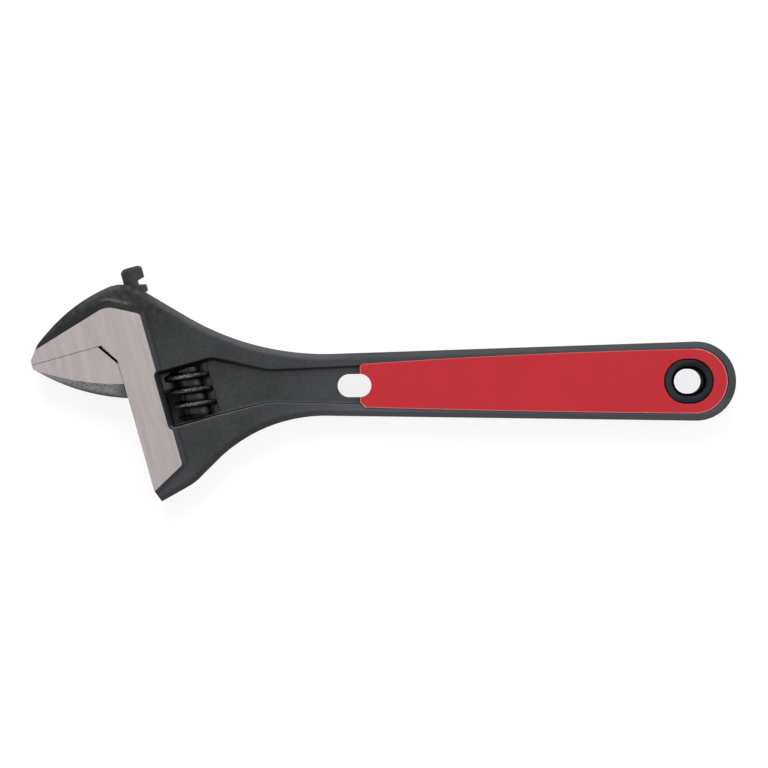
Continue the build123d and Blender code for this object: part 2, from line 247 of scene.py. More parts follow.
class Shader(Graph):
    """A material in the making: its surface shader and the object's own coordinates in mm."""

    def __init__(self, name: str) -> None:
        """Start a material with one Principled surface and the object's coordinates."""
        self.material = bpy.data.materials.new(name)
        self.material.use_nodes = True
        super().__init__(self.material.node_tree)
        self.surface = self.tree.nodes["Principled BSDF"]
        source = self.node("ShaderNodeTexCoord").outputs["Object"]
        scaled = self.node("ShaderNodeVectorMath", {"operation": "SCALE"}, {0: source, "Scale": 1 / MM})
        self.place = scaled.outputs[0]
        self.x, self.y, self.z = self.split(self.place)
        reach_x = self.x - HEAD.corner[0]
        reach_y = self.y - HEAD.corner[1]
        self.along = reach_x * cos(HEAD.turn) + reach_y * sin(HEAD.turn)
        self.up = reach_y * cos(HEAD.turn) - reach_x * sin(HEAD.turn)
        self.height = abs(self.z)

    def set(self, **inputs: Any) -> None:
        """Set or link sockets of the surface shader, named with _ for a space and each word's own capital."""
        for name, source in inputs.items():
            self.feed(self.surface.inputs[name.replace("_", " ")], source)

    def spot(self, *parts: Any) -> Socket:
        """Join three values to one place."""
        return self.node("ShaderNodeCombineXYZ", {}, dict(enumerate(parts))).outputs[0]

    def split(self, vector: Socket) -> list[Value]:
        """Return the three parts of a vector."""
        parts = self.node("ShaderNodeSeparateXYZ", {}, {0: vector}).outputs
        return [Value(self, part) for part in parts]

    def noise(self, place: Socket, scale: float, detail: float = 2.0) -> Value:
        """Read a noise.

        Args:
            place: where it is read, in mm.
            scale: its cells in a millimetre.
            detail: its octaves.

        Returns:
            The noise, about 0.5 in the middle.
        """
        inputs = {"Vector": place, "Scale": scale, "Detail": detail, "Roughness": NOISE_ROUGHNESS}
        return Value(self, self.node("ShaderNodeTexNoise", {}, inputs).outputs[0])

    def facing(self) -> tuple[Value, Value]:
        """Return how far a face looks across the handle, and square to the flats, without its sign."""
        _, across, square = self.split(self.node("ShaderNodeNewGeometry").outputs["True Normal"])
        return across, abs(square)

    def rounded(self, radius: float) -> Socket:
        """Return the normal with its edges rounded to a radius in mm."""
        return self.node("ShaderNodeBevel", {"samples": BEVEL_SAMPLES}, {"Radius": radius * MM}).outputs[0]

    def around(self, half_run: float) -> Value:
        """Return the distance from the hang hole's middle line, a run along the handle, in mm."""
        reach = (abs(self.x) - half_run).most(0.0)
        return (reach * reach + self.y * self.y) ** 0.5

    def relief(self, height: Value, depth: float, edge: float, crisp: Value | None = None) -> Socket:
        """Make a normal from rounded edges and a height.

        Args:
            height: the relief, 0 to 1.
            depth: the relief's depth in mm.
            edge: the radius in mm at which edges catch the light.
            crisp: where edges stay sharp, 1, or rounded, 0.

        Returns:
            The normal.
        """
        normal = self.rounded(edge)
        if crisp is not None:
            flat = self.node("ShaderNodeNewGeometry").outputs["Normal"]
            mixed = self.node("ShaderNodeMix", {"data_type": "VECTOR"}, {0: crisp, 4: normal, 5: flat})
            normal = mixed.outputs[1]
        inputs = {"Strength": 1.0, "Distance": depth * MM, "Height": height, "Normal": normal}
        return self.node("ShaderNodeBump", {}, inputs).outputs[0]


@dataclass(frozen=True)
class GroundSteel:
    """Steel ground on a wheel: fine streaks up the slide, with wider faint bands."""

    pale: Color = (0.372, 0.333, 0.329)
    deep: Color = (0.292, 0.262, 0.259)
    rough: float = 0.36
    rough_spread: float = 0.16
    streak_pitch: float = 0.14
    streak_length: float = 6.0
    streak_depth: float = 0.3
    streak_share: float = 0.7
    band_width: float = 2.0
    band_length: float = 25.0
    band_depth: float = 0.2
    band_share: float = 0.6
    shade_base: float = 0.15
    shade_span: Span = (0.15, 0.85)
    land_drop: Span = (0.09, 0.03)
    land_grain: float = 0.06

    def color(self, shader: Shader) -> tuple[Socket, Value]:
        """Return the steel's colour and its roughness."""
        fine = shader.spot(
            shader.along * (1 / self.streak_pitch),
            shader.up * (1 / self.streak_length),
            shader.z * self.streak_depth,
        )
        wide = shader.spot(
            shader.along * (1 / self.band_width),
            shader.up * (1 / self.band_length),
            shader.z * self.band_depth,
        )
        streak = shader.noise(fine, 1.0, 3.0)
        band = shader.noise(wide, 1.0, 1.0)
        shade = streak * self.streak_share + band * self.band_share - self.shade_base
        color = shader.blend(shade.rise(*self.shade_span), self.deep, self.pale)
        return color, streak * self.rough_spread + self.rough

    def land(self, shader: Shader, grain: Value) -> Value:
        """Return 1 on the ground lands, up to a border that the grain of the coat breaks up."""
        low, high = (HEAD.land_level - drop for drop in self.land_drop)
        return (shader.height + grain * self.land_grain).rise(low, high)


@dataclass(frozen=True)
class Phosphate:
    """Dark phosphate on a blasted forging: a fine grain with slightly larger paler and darker flecks."""

    pale: Color = (0.041, 0.043, 0.045)
    deep: Color = (0.018, 0.019, 0.0195)
    rough: float = 0.46
    rough_spread: float = 0.2
    fine_cells: float = 3.2
    fine_share: float = 0.55
    fleck_cells: float = 0.9
    fleck_share: float = 0.35
    cloud_cells: float = 0.07
    cloud_share: float = 0.3
    shade_base: float = 0.1
    shade_span: Span = (0.3, 0.72)

    def color(self, shader: Shader) -> tuple[Socket, Value, Value]:
        """Return the coat's colour, its roughness and the height of its grain."""
        fine = shader.noise(shader.place, self.fine_cells, 3.0)
        fleck = shader.noise(shader.place, self.fleck_cells)
        cloud = shader.noise(shader.place, self.cloud_cells)
        shade = fine * self.fine_share + fleck * self.fleck_share + cloud * self.cloud_share - self.shade_base
        color = shader.blend(shade.rise(*self.shade_span), self.deep, self.pale)
        return color, fine * self.rough_spread + self.rough, fine


@dataclass(frozen=True)
class LandBorder:
    """The border of the head's ground land, as lines in the head's own directions, taken clockwise."""

    left: Point = (-36.0, 2.5)
    peak: Point = (1.1, 13.2)
    shoulder: Point = (12.2, 7.2)
    heel: Point = (12.2, -49.2)
    heel_end: Point = (-6.0, -58.9)

    def beyond(self, shader: Shader, start: Point, end: Point) -> Value:
        """Return how far outside one line of the border a place lies.

        The distance is the place's reach from the start along the line's left-hand normal.

        Args:
            shader: the material in the making.
            start: the line's first point.
            end: its last point.

        Returns:
            The distance in mm, below 0 on the land's side.
        """
        run = hypot(end[0] - start[0], end[1] - start[1])
        normal = ((start[1] - end[1]) / run, (end[0] - start[0]) / run)
        return (shader.along - start[0]) * normal[0] + (shader.up - start[1]) * normal[1]

    def sides(self, shader: Shader) -> tuple[Value, Value, Value, Value]:
        """Return the distances outside the border over the jaw, over the crown, at the neck and at the heel."""
        return (
            self.beyond(shader, self.left, self.peak),
            self.beyond(shader, self.peak, self.shoulder),
            self.beyond(shader, self.shoulder, self.heel),
            self.beyond(shader, self.heel, self.heel_end),
        )


class Tone(Enum):
    """Tones that several places of the forging share: black for painted shade, a deeper black for painted shade round
    the hang hole, and a pale grey for painted highlights.
    """

    SHADE_BLACK = (0.005, 0.0055, 0.006)
    RIM_SHADE_BLACK = (0.0012, 0.0012, 0.0015)
    HIGHLIGHT_GRAY = (0.14, 0.145, 0.16)


@dataclass(frozen=True)
class ShoulderShade:
    """The forged step round the land: painted shade, black over the jaw and blue-grey at the neck, and a painted
    highlight on the lip on top.

    Spans say where a mark starts or ends, in mm along the head, up its slide or outside the land's border.
    """

    border: LandBorder = LandBorder()
    level_span: Span = (-1.5, -0.5)
    beside_span: Span = (-0.8, 0.8)
    window_middle: float = -25.2
    window_span: Span = (9.4, 10.4)
    crown_shade: Color = (0.009, 0.0095, 0.009)
    crown_up: Span = (-6.0, 6.0)
    crown_along: Span = (36.0, 16.0)
    mottle_cells: float = 0.45
    mottle_span: Span = (0.3, 0.7)
    heel_gray: Color = (0.052, 0.054, 0.062)
    heel_start: Span = (0.2, 1.2)
    heel_end: Span = (9.0, 4.0)
    heel_along: Span = (24.0, 8.0)
    heel_strength: float = 0.5
    step_start: Span = (-0.3, 0.0)
    step_end: Span = (3.0, 2.0)
    step_along: Span = (16.0, 12.0)
    step_strength: float = 0.85
    band_shade_blue: Color = (0.040, 0.045, 0.052)
    band_end: Span = (1.8, 1.2)
    band_strength: float = 0.7
    groove_reach: float = 2.1
    groove_span: Span = (0.7, 0.1)
    groove_strength: float = 0.5
    wall_start: Span = (10.5, 13.0)
    wall_end: Span = (17.0, 15.0)
    wall_strength: float = 0.8
    lip_reach: float = 2.95
    lip_half: float = 1.2
    lip_start: Span = (-4.0, 5.0)
    lip_end: Span = (13.0, 6.0)
    lip_bend: float = 4.0
    highlight_cells: float = 0.6
    glint_patch_span: Span = (0.25, 0.75)
    highlight_share: float = 0.75
    highlight_base: float = 0.1

    def lip_highlight(self, shader: Shader, jaw_side: Value, crown_side: Value) -> Value:
        """Return the painted highlight on the lip over the land's peak, in patches.

        Args:
            shader: the material in the making.
            jaw_side: the distance outside the land's border over the jaw.
            crown_side: the distance outside it over the crown.

        Returns:
            0 to 1, most on a line that bends round the peak.
        """
        highlight_patches = shader.noise(shader.place, self.highlight_cells, 1.0).rise(*self.glint_patch_span) * self.highlight_share + self.highlight_base
        sides = jaw_side.most(0.0) ** self.lip_bend + crown_side.most(0.0) ** self.lip_bend
        line = abs(sides ** (1 / self.lip_bend) - self.lip_reach).rise(self.lip_half, 0.0)
        return line * shader.along.rise(*self.lip_start) * shader.along.rise(*self.lip_end) * highlight_patches

    def color(self, shader: Shader, coat: Socket) -> Socket:
        """Paint shade and a highlight on the step.

        Args:
            shader: the material in the making.
            coat: the colour of the forging.

        Returns:
            The new colour.
        """
        jaw_side, crown_side, neck_side, heel_side = self.border.sides(shader)
        over = jaw_side.most(crown_side)
        outside = over.most(neck_side).most(heel_side)
        high = shader.height.rise(*(HEAD.shoulder_level + part for part in self.level_span))
        clear = abs(shader.up - self.window_middle).rise(*self.window_span)
        beside = (neck_side - over.most(heel_side)).rise(*self.beside_span) * clear
        # Painted shade darkens the crown, broken by a mottle.
        crown = shader.up.rise(*self.crown_up) * shader.along.rise(*self.crown_along)
        crown = crown * shader.noise(shader.place, self.mottle_cells, 3.0).rise(*self.mottle_span)
        heel = heel_side.rise(*self.heel_start) * heel_side.rise(*self.heel_end) * shader.along.rise(*self.heel_along)
        # Painted shade on the step just outside the land, over the jaw and the crown.
        step = over.rise(*self.step_end) * over.rise(*self.step_start) * shader.along.rise(*self.step_along) * high
        # Blue-grey painted shade on the band beside the land at the neck.
        band = beside * high * outside.rise(*self.band_end)
        # Painted shade in the crease a little further out from the land.
        groove = beside * abs(outside - self.groove_reach).rise(*self.groove_span)
        # Painted shade on the worm window's wall towards the throat.
        wall = (1 - clear) * shader.along.rise(*self.wall_start) * shader.along.rise(*self.wall_end)
        color = shader.blend(crown, coat, self.crown_shade)
        for mark, strength, tone in (
            (heel, self.heel_strength, self.heel_gray),
            (step, self.step_strength, Tone.SHADE_BLACK.value),
            (band, self.band_strength, self.band_shade_blue),
            (groove, self.groove_strength, Tone.SHADE_BLACK.value),
            (wall, self.wall_strength, Tone.SHADE_BLACK.value),
        ):
            color = shader.blend(mark * strength, color, tone)
        # Painted highlight on the lip over the land's peak.
        return shader.blend(self.lip_highlight(shader, jaw_side, crown_side), color, Tone.HIGHLIGHT_GRAY.value)


@dataclass(frozen=True)
class RecessShade:
    """The drafted walls of the recess: painted shade on the upper wall, and below a line of painted shade between
    painted highlights on the lips.
    """

    flange_level: float = 5.5
    web_level: float = 4.0
    level_blur: float = 0.05
    taper: Span = (-137.0, -186.0)
    steep: Span = (0.25, 0.35)
    shallow: Span = (0.62, 0.5)
    facing_up: Span = (0.2, 0.6)
    facing_down: Span = (-0.2, -0.6)
    top_lip: Span = (0.6, 0.75)
    foot_lip: Span = (0.3, 0.1)
    fade_along: Span = (48.0, 28.0)
    fade_share: float = 0.4
    painted_shade_strength: float = 0.9
    lip_highlight_gray: Color = (0.105, 0.108, 0.116)
    lip_highlight_strength: float = 0.8

    def color(self, shader: Shader, color: Socket) -> tuple[Socket, Value]:
        """Paint shade on the walls, and highlights on the lips below.

        Args:
            shader: the material in the making.
            color: the colour of the forging round the recess.

        Returns:
            The new colour, and 1 where a wall has painted shade.
        """
        across, flat = shader.facing()
        wall = flat.rise(*self.steep) * flat.rise(*self.shallow)
        wall = wall * shader.height.rise(HEAD.shoulder_level + self.level_blur, HEAD.shoulder_level - self.level_blur)
        wall = wall * shader.height.rise(self.web_level - self.level_blur, self.web_level + self.level_blur)
        top = shader.x.rise(*self.taper) * (HEAD.shoulder_level - self.flange_level)
        part = (shader.height - self.web_level) / (top + (self.flange_level - self.web_level))
        lips = part.rise(*self.top_lip).most(part.rise(*self.foot_lip))
        lower = wall * across.rise(*self.facing_up)
        near = shader.along.rise(*self.fade_along) * self.fade_share + (1 - self.fade_share)
        # Painted shade on the upper walls, and in a line on the lower walls.
        dark = (wall * across.rise(*self.facing_down) * near).most(lower * (1 - lips))
        color = shader.blend(dark * self.painted_shade_strength, color, Tone.SHADE_BLACK.value)
        # Painted highlights on the lips of the lower walls.
        return shader.blend(lower * lips * self.lip_highlight_strength, color, self.lip_highlight_gray), dark


@dataclass(frozen=True)
class RimShade:
    """The smooth rim round the hang hole: black, bluer towards the head, with painted shade on its upper side and a
    painted black shade over its inner slope and bore.
    """

    half_run: float = 0.85
    radius_span: Span = (8.1, 8.02)
    inside_span: Span = (6.0, 5.1)
    bore_span: Span = (5.0, 4.7)
    black: Color = (0.012, 0.0135, 0.019)
    blue: Color = (0.026, 0.032, 0.045)
    blue_span: Span = (-1.0, -6.5)
    blue_strength: float = 0.5
    upper_shade_span: Span = (2.0, 6.0)
    painted_shade_strength: float = 0.5

    def color(self, shader: Shader, color: Socket) -> tuple[Socket, Value, Value, Value]:
        """Colour the rim, with painted shade on its upper side, its inner slope and its bore.

        Args:
            shader: the material in the making.
            color: the colour of the forging round the rim.

        Returns:
            The new colour, and 1 on the rim, from the rim's inner slope inwards, where black shade is painted, and in
            the bore.
        """
        from_hole = shader.around(self.half_run)
        rim = from_hole.rise(*self.radius_span)
        inside = from_hole.rise(*self.inside_span)
        tone = shader.blend(shader.x.rise(*self.blue_span) * self.blue_strength, self.black, self.blue)
        # Painted shade on the rim's upper side.
        tone = shader.blend(shader.y.rise(*self.upper_shade_span) * self.painted_shade_strength, tone, Tone.RIM_SHADE_BLACK.value)
        # Painted black shade from the rim's inner slope into the bore.
        color = shader.blend(inside, shader.blend(rim, color, tone), Tone.RIM_SHADE_BLACK.value)
        return color, rim, inside, from_hole.rise(*self.bore_span)


@dataclass(frozen=True)
class ForgingFinish:
    """The body: phosphate all over, ground lands and jaw face, painted shade on its shoulder, recess and rim, painted
    highlights on the shoulder's lip, the recess's lips and the neck's upper edge, and painted light on the handle's
    flanges.
    """

    steel: GroundSteel = GroundSteel()
    coat: Phosphate = Phosphate()
    shoulder: ShoulderShade = ShoulderShade()
    recess: RecessShade = RecessShade()
    rim: RimShade = RimShade()
    face_span: Span = (0.12, 0.06)
    relief_jaw: Span = (-4.2, -4.6)
    relief_throat: Span = (-6.6, -7.0)
    seam_brown: Color = (0.14, 0.115, 0.105)
    seam_across: Span = (0.3, 0.1)
    seam_along: Span = (-3.7, -4.2)
    seam_height: Span = (8.2, 8.4)
    flange_light_gray: Color = (0.074, 0.078, 0.090)
    flange_along: Span = (-160.0, -110.0)
    flange_low: Span = (-5.0, -9.0)
    flange_share: float = 0.7
    flange_base: float = 0.28
    highlight_width: float = 2.6
    highlight_strength: float = 0.34
    highlight_tilt: Span = (0.03, 0.7)
    highlight_flat: Span = (0.2, 0.5)
    highlight_across: Span = (6.0, 9.0)
    highlight_neck: tuple[Span, Span] = ((-198.0, -190.0), (-118.0, -136.0))
    highlight_crown: tuple[Span, Span] = ((-203.0, -208.0), (-222.0, -214.0))
    highlight_crown_start: Span = (2.4, 3.4)
    highlight_crown_share: float = 0.6
    edge_radius: float = 1.2
    grain_depth: float = 0.05
    wall_shade_metallic: float = 0.7
    rim_sheen: float = 0.5
    rim_polish: float = 0.15
    specular: float = 0.18

    def ground(self, shader: Shader, grain: Value) -> Value:
        """Return 1 on the ground lands, the jaw face and the throat."""
        jaw_face = abs(shader.up).rise(*self.face_span) * shader.along.rise(*self.relief_jaw)
        throat = abs(shader.along).rise(*self.face_span) * shader.up.rise(*self.relief_throat)
        return self.steel.land(shader, grain).most(jaw_face).most(throat)

    def pale_edge(self, shader: Shader) -> Value:
        """Return the painted highlight on the upper edge of the neck and crown: most at the edge, least inwards."""
        tilt = shader.split(shader.rounded(self.highlight_width))[1]
        neck, crown = (
            shader.x.rise(*start) * shader.x.rise(*end) for start, end in (self.highlight_neck, self.highlight_crown)
        )
        border = self.shoulder.border
        off_land = border.beyond(shader, border.left, border.peak).rise(*self.highlight_crown_start)
        places = neck + crown * off_land * self.highlight_crown_share
        flat = shader.facing()[1].rise(*self.highlight_flat)
        return tilt.rise(*self.highlight_tilt) * flat * shader.y.rise(*self.highlight_across) * places

    def seam(self, shader: Shader, steel: Socket) -> Socket:
        """Return the steel's colour with a brown line where the jaw faces meet."""
        line = abs(shader.up).rise(*self.seam_across) * shader.along.rise(*self.seam_along)
        return shader.blend(line * shader.height.rise(*self.seam_height), steel, self.seam_brown)

    def make(self) -> bpy.types.Material:
        """Build the material."""
        shader = Shader("phosphated_forging")
        steel, steel_rough = self.steel.color(shader)
        coat, coat_rough, grain = self.coat.color(shader)
        ground = self.ground(shader, grain)
        # Painted highlight on the upper edge of the neck and crown.
        edge_highlight = self.pale_edge(shader) * self.highlight_strength
        color = shader.blend(edge_highlight, self.shoulder.color(shader, coat), Tone.HIGHLIGHT_GRAY.value)
        # Painted light on the handle's flanges, most on the lower one.
        low = shader.y.rise(*self.flange_low) * self.flange_share + self.flange_base
        color = shader.blend(shader.x.rise(*self.flange_along) * low, color, self.flange_light_gray)
        color, dark = self.recess.color(shader, color)
        color, rim, inside, bore = self.rim.color(shader, color)
        shader.set(
            Base_Color=shader.blend(ground, color, self.seam(shader, steel)),
            # Metallic keeps the painted shade on the walls and round the bore free of reflections.
            Metallic=ground.most(dark * self.wall_shade_metallic).most(rim * self.rim_sheen).most(inside),
            Roughness=(coat_rough * (1 - rim * self.rim_polish) * (1 - ground) + steel_rough * ground).most(bore),
            Normal=shader.relief(grain * (1 - ground) * (1 - rim), self.grain_depth, self.edge_radius, ground),
            Specular_IOR_Level=self.specular,
        )
        return shader.material


@dataclass(frozen=True)
class JawFinish:
    """The movable jaw: ground lands and faces, a blasted blue-grey underside whose pale tone is a painted sheen, a
    dark web and rack.
    """

    steel: GroundSteel = GroundSteel()
    coat: Phosphate = Phosphate()
    face_span: Span = (-0.06, 0.0)
    face_lift: float = 0.12
    face_end: Span = (0.0, -0.2)
    slope_height: Span = (4.3, 4.75)
    slope_end: Span = (0.2, -0.1)
    shade_height: Span = (6.0, 4.9)
    shade_along: Span = (-5.0, -0.5)
    shade_strength: float = 0.7
    blasted_sheen_pale: Color = (0.27, 0.27, 0.285)
    blasted_sheen_deep: Color = (0.095, 0.095, 0.102)
    blasted_span: Span = (0.36, 0.62)
    fleck_cells: float = 2.0
    fleck_share: float = 0.6
    chatter_cells: float = 1.4
    chatter_share: float = 0.4
    chatter_rates: tuple[float, float] = (0.25, 0.2)
    edge_shade_gray: Color = (0.060, 0.061, 0.065)
    edge_radius: float = 0.5
    grain_depth: float = 0.06
    slope_sheen: float = 0.8
    specular: float = 0.18

    def underside(self, shader: Shader) -> Socket:
        """Return the colour of the blasted slope: flecks and slanted chatter in a painted pale sheen, greyer with
        painted shade at its edge and its root.
        """
        fleck = shader.noise(shader.place, self.fleck_cells, 3.0)
        slanted = shader.spot(
            shader.along + shader.up, shader.up * self.chatter_rates[0], shader.z * self.chatter_rates[1]
        )
        chatter = shader.noise(slanted, self.chatter_cells, 1.0)
        pale = (fleck * self.fleck_share + chatter * self.chatter_share).rise(*self.blasted_span)
        shade = shader.height.rise(*self.shade_height).most(shader.along.rise(*self.shade_along))
        # The flecks and chatter are the blasted surface's own; their pale tone is a painted sheen.
        blasted = shader.blend(pale, self.blasted_sheen_deep, self.blasted_sheen_pale)
        # Painted shade at the slope's edge and its root.
        return shader.blend(shade * self.shade_strength, blasted, self.edge_shade_gray)

    def make(self) -> bpy.types.Material:
        """Build the material."""
        shader = Shader("jaw_steel")
        steel, steel_rough = self.steel.color(shader)
        coat, coat_rough, grain = self.coat.color(shader)
        face = (shader.up + self.face_lift).rise(*self.face_span) * shader.along.rise(*self.face_end)
        ground = self.steel.land(shader, grain).most(face)
        slope = shader.height.rise(*self.slope_height) * shader.along.rise(*self.slope_end)
        color = shader.blend(slope, coat, self.underside(shader))
        shader.set(
            Base_Color=shader.blend(ground, color, steel),
            Metallic=ground.most(slope * self.slope_sheen),
            Roughness=coat_rough * (1 - ground) + steel_rough * ground,
            Normal=shader.relief(grain * (1 - ground), self.grain_depth, self.edge_radius, ground),
            Specular_IOR_Level=self.specular,
        )
        return shader.material


@dataclass(frozen=True)
class WormFinish:
    """The worm: black oxide, scuffed towards bare steel on the knurled crests, with painted glints there, most left
    of its middle, and painted light on the drum between the ridges.
    """

    black: Color = (0.0025, 0.0025, 0.003)
    gray: Color = (0.010, 0.010, 0.011)
    drum_light_gray: Color = (0.052, 0.053, 0.056)
    bare: Color = (0.34, 0.34, 0.345)
    crest_drop: Span = (0.45, 0.1)
    drum_rise: Span = (0.5, 0.1)
    valley_span: Span = (0.27, 0.08)
    crest_wear_and_glint: float = 0.42
    glint_patch_span: Span = (0.35, 0.6)
    glint_side: float = -2.4
    glint_side_span: Span = (8.0, 1.0)
    glint_side_share: float = 0.75
    cloud_cells: float = 1.4
    cloud_span: Span = (0.35, 0.7)
    sheen: float = 0.85
    rough: float = 0.24
    rough_spread: float = 0.2
    grain_depth: float = 0.03
    edge_radius: float = 0.15
    specular: float = 0.2

    def make(self) -> bpy.types.Material:
        """Build the material."""
        shader = Shader("worm_black_oxide")
        reach = shader.along - WORM.center[0]
        radius = (reach * reach + shader.z * shader.z) ** 0.5
        turns = reach.math("ARCTAN2", reach, shader.z) / (2 * pi)
        phase = (shader.up - (WORM.center[1] + WORM.front_crest)) / WORM.pitch + turns
        # Where painted light goes on the drum: midway between the ridges.
        valley = abs(phase.math("FRACT", phase) - 0.5).rise(*self.valley_span)
        cloud = shader.noise(shader.place, self.cloud_cells, 3.0)
        # Painted glints on the crests, most left of the worm's middle.
        paleness = abs(reach - self.glint_side).rise(*self.glint_side_span) * self.glint_side_share + (1 - self.glint_side_share)
        crest = radius.rise(*(WORM.crest_radius - drop for drop in self.crest_drop))
        drum = radius.rise(*(WORM.root_radius + rise for rise in self.drum_rise))
        base = shader.blend(cloud.rise(*self.cloud_span), self.black, self.gray)
        # Painted light on the drum midway between the ridges.
        base = shader.blend(drum * valley * cloud, base, self.drum_light_gray)
        shader.set(
            # The crests go towards bare steel where scuffed, and carry the painted glints.
            Base_Color=shader.blend(crest * cloud.rise(*self.glint_patch_span) * paleness * self.crest_wear_and_glint, base, self.bare),
            Metallic=self.sheen,
            Roughness=cloud * self.rough_spread + self.rough,
            Normal=shader.relief(cloud, self.grain_depth, self.edge_radius),
            Specular_IOR_Level=self.specular,
        )
        return shader.material


class Temper(Enum):
    """The two kinds of bare steel inside the head, a dark turned pin and bright spring wire.

    Each holds its deep colour, its pale colour and its roughness.
    """

    DARK = ((0.035, 0.035, 0.037), (0.09, 0.09, 0.092), 0.38)
    BRIGHT = ((0.30, 0.30, 0.305), (0.52, 0.52, 0.53), 0.28)


@dataclass(frozen=True)
class TurnedSteel:
    """Turned or drawn steel with a fine mottle."""

    name: str
    temper: Temper
    rates: tuple[float, float, float] = (0.6, 6.0, 0.6)
    shade_span: Span = (0.3, 0.7)
    rough_spread: float = 0.2
    grain_depth: float = 0.01
    edge_radius: float = 0.15

    def make(self) -> bpy.types.Material:
        """Build the material."""
        deep, pale, rough = self.temper.value
        shader = Shader(self.name)
        places = (shader.along, shader.up, shader.z)
        ring = shader.noise(shader.spot(*(place * rate for place, rate in zip(places, self.rates))), 1.0)
        shader.set(
            Base_Color=shader.blend(ring.rise(*self.shade_span), deep, pale),
            Metallic=1.0,
            Roughness=ring * self.rough_spread + rough,
            Normal=shader.relief(ring, self.grain_depth, self.edge_radius),
        )
        return shader.material


@dataclass(frozen=True)
class PanelFinish:
    """The panel: satin red with a faint mottle, and a thin pale line where its face ends."""

    red: Color = (0.475, 0.014, 0.024)
    deep_red: Color = (0.405, 0.011, 0.019)
    pale: Color = (0.62, 0.36, 0.34)
    start: float = -118.9
    end_center: float = 2.3
    end_radius: float = 11.7
    upper_ends: tuple[float, float] = (7.75, 11.7)
    upper_middle: Point = (-57.3, 10.5)
    lower_ends: tuple[float, float] = (-7.9, -11.7)
    lower_middle: Point = (-57.6, -10.15)
    corner_cut: float = 1.8
    chip: Point = (-15.5, -11.2)
    chip_stretch: float = 0.45
    line: float = 0.36
    fade: float = 0.24
    top_pale: float = 0.25
    side_pale: float = 0.5
    corner_pale: float = 0.9
    tip_pale: float = 0.75
    chip_pale: float = 0.8
    pale_gain: float = 1.2
    pale_base: float = 0.35
    mottle_cells: float = 1.6
    mottle_share: float = 0.45
    speck_cells: float = 5.0
    speck_share: float = 0.3
    cloud_cells: float = 0.05
    cloud_share: float = 0.25
    shade_span: Span = (0.35, 0.65)
    rough: float = 0.36
    rough_spread: float = 0.16
    mottle_height: float = 0.6
    speck_height: float = 0.4
    grain_depth: float = 0.02
    edge_radius: float = 0.25
    specular: float = 0.3

    def bow(self, shader: Shader, ends: tuple[float, float], middle: Point) -> Value:
        """Return the height of one bowed side of the panel: the parabola through its ends and its middle.

        Args:
            shader: the material in the making.
            ends: the side's heights at the panel's start and at the round end.
            middle: a point of the side between them.

        Returns:
            The side's height over the wrench's middle line, in mm.
        """
        places = (self.start, middle[0], self.end_center)
        bend, slope, level = (float(term) for term in np.polyfit(places, (ends[0], middle[1], ends[1]), 2))
        return (shader.x * bend + slope) * shader.x + level

    def pale_edge(self, shader: Shader, mottle: Value) -> Value:
        """Return how pale the panel's border is: most at the round end and the cut corner, least on top."""
        upper = self.bow(shader, self.upper_ends, self.upper_middle) - shader.y
        lower = shader.y - self.bow(shader, self.lower_ends, self.lower_middle)
        left = shader.x - self.start
        corner = (left + shader.y - self.lower_ends[0] - self.corner_cut) * sin(pi / 4)
        past = (shader.x - self.end_center).most(0.0)
        tip = self.end_radius - (past * past + shader.y * shader.y) ** 0.5
        tip = tip + shader.x.rise(self.end_center, self.end_center - 1.0) * self.end_radius
        chip_along = (shader.x - self.chip[0]) * self.chip_stretch
        chip_across = shader.y - self.chip[1]
        chip = (chip_along * chip_along + chip_across * chip_across) ** 0.5
        edge = upper.rise(self.line, self.fade / 2) * self.top_pale
        for distance, paleness in (
            (lower, self.side_pale),
            (left, self.side_pale),
            (corner, self.corner_pale),
            (tip, self.tip_pale),
            (chip, self.chip_pale),
        ):
            edge = edge.most(distance.rise(self.line, self.line - self.fade) * paleness)
        return edge * (mottle * self.pale_gain + self.pale_base).least(1.0)

    def make(self) -> bpy.types.Material:
        """Build the material."""
        shader = Shader("red_panel")
        mottle = shader.noise(shader.place, self.mottle_cells, 3.0)
        speck = shader.noise(shader.place, self.speck_cells)
        cloud = shader.noise(shader.place, self.cloud_cells)
        shade = mottle * self.mottle_share + speck * self.speck_share + cloud * self.cloud_share
        grain = mottle * self.mottle_height + speck * self.speck_height
        red = shader.blend(shade.rise(*self.shade_span), self.deep_red, self.red)
        shader.set(
            Base_Color=shader.blend(self.pale_edge(shader, mottle), red, self.pale),
            Roughness=mottle * self.rough_spread + self.rough,
            Normal=shader.relief(grain, self.grain_depth, self.edge_radius),
            Specular_IOR_Level=self.specular,
        )
        return shader.material


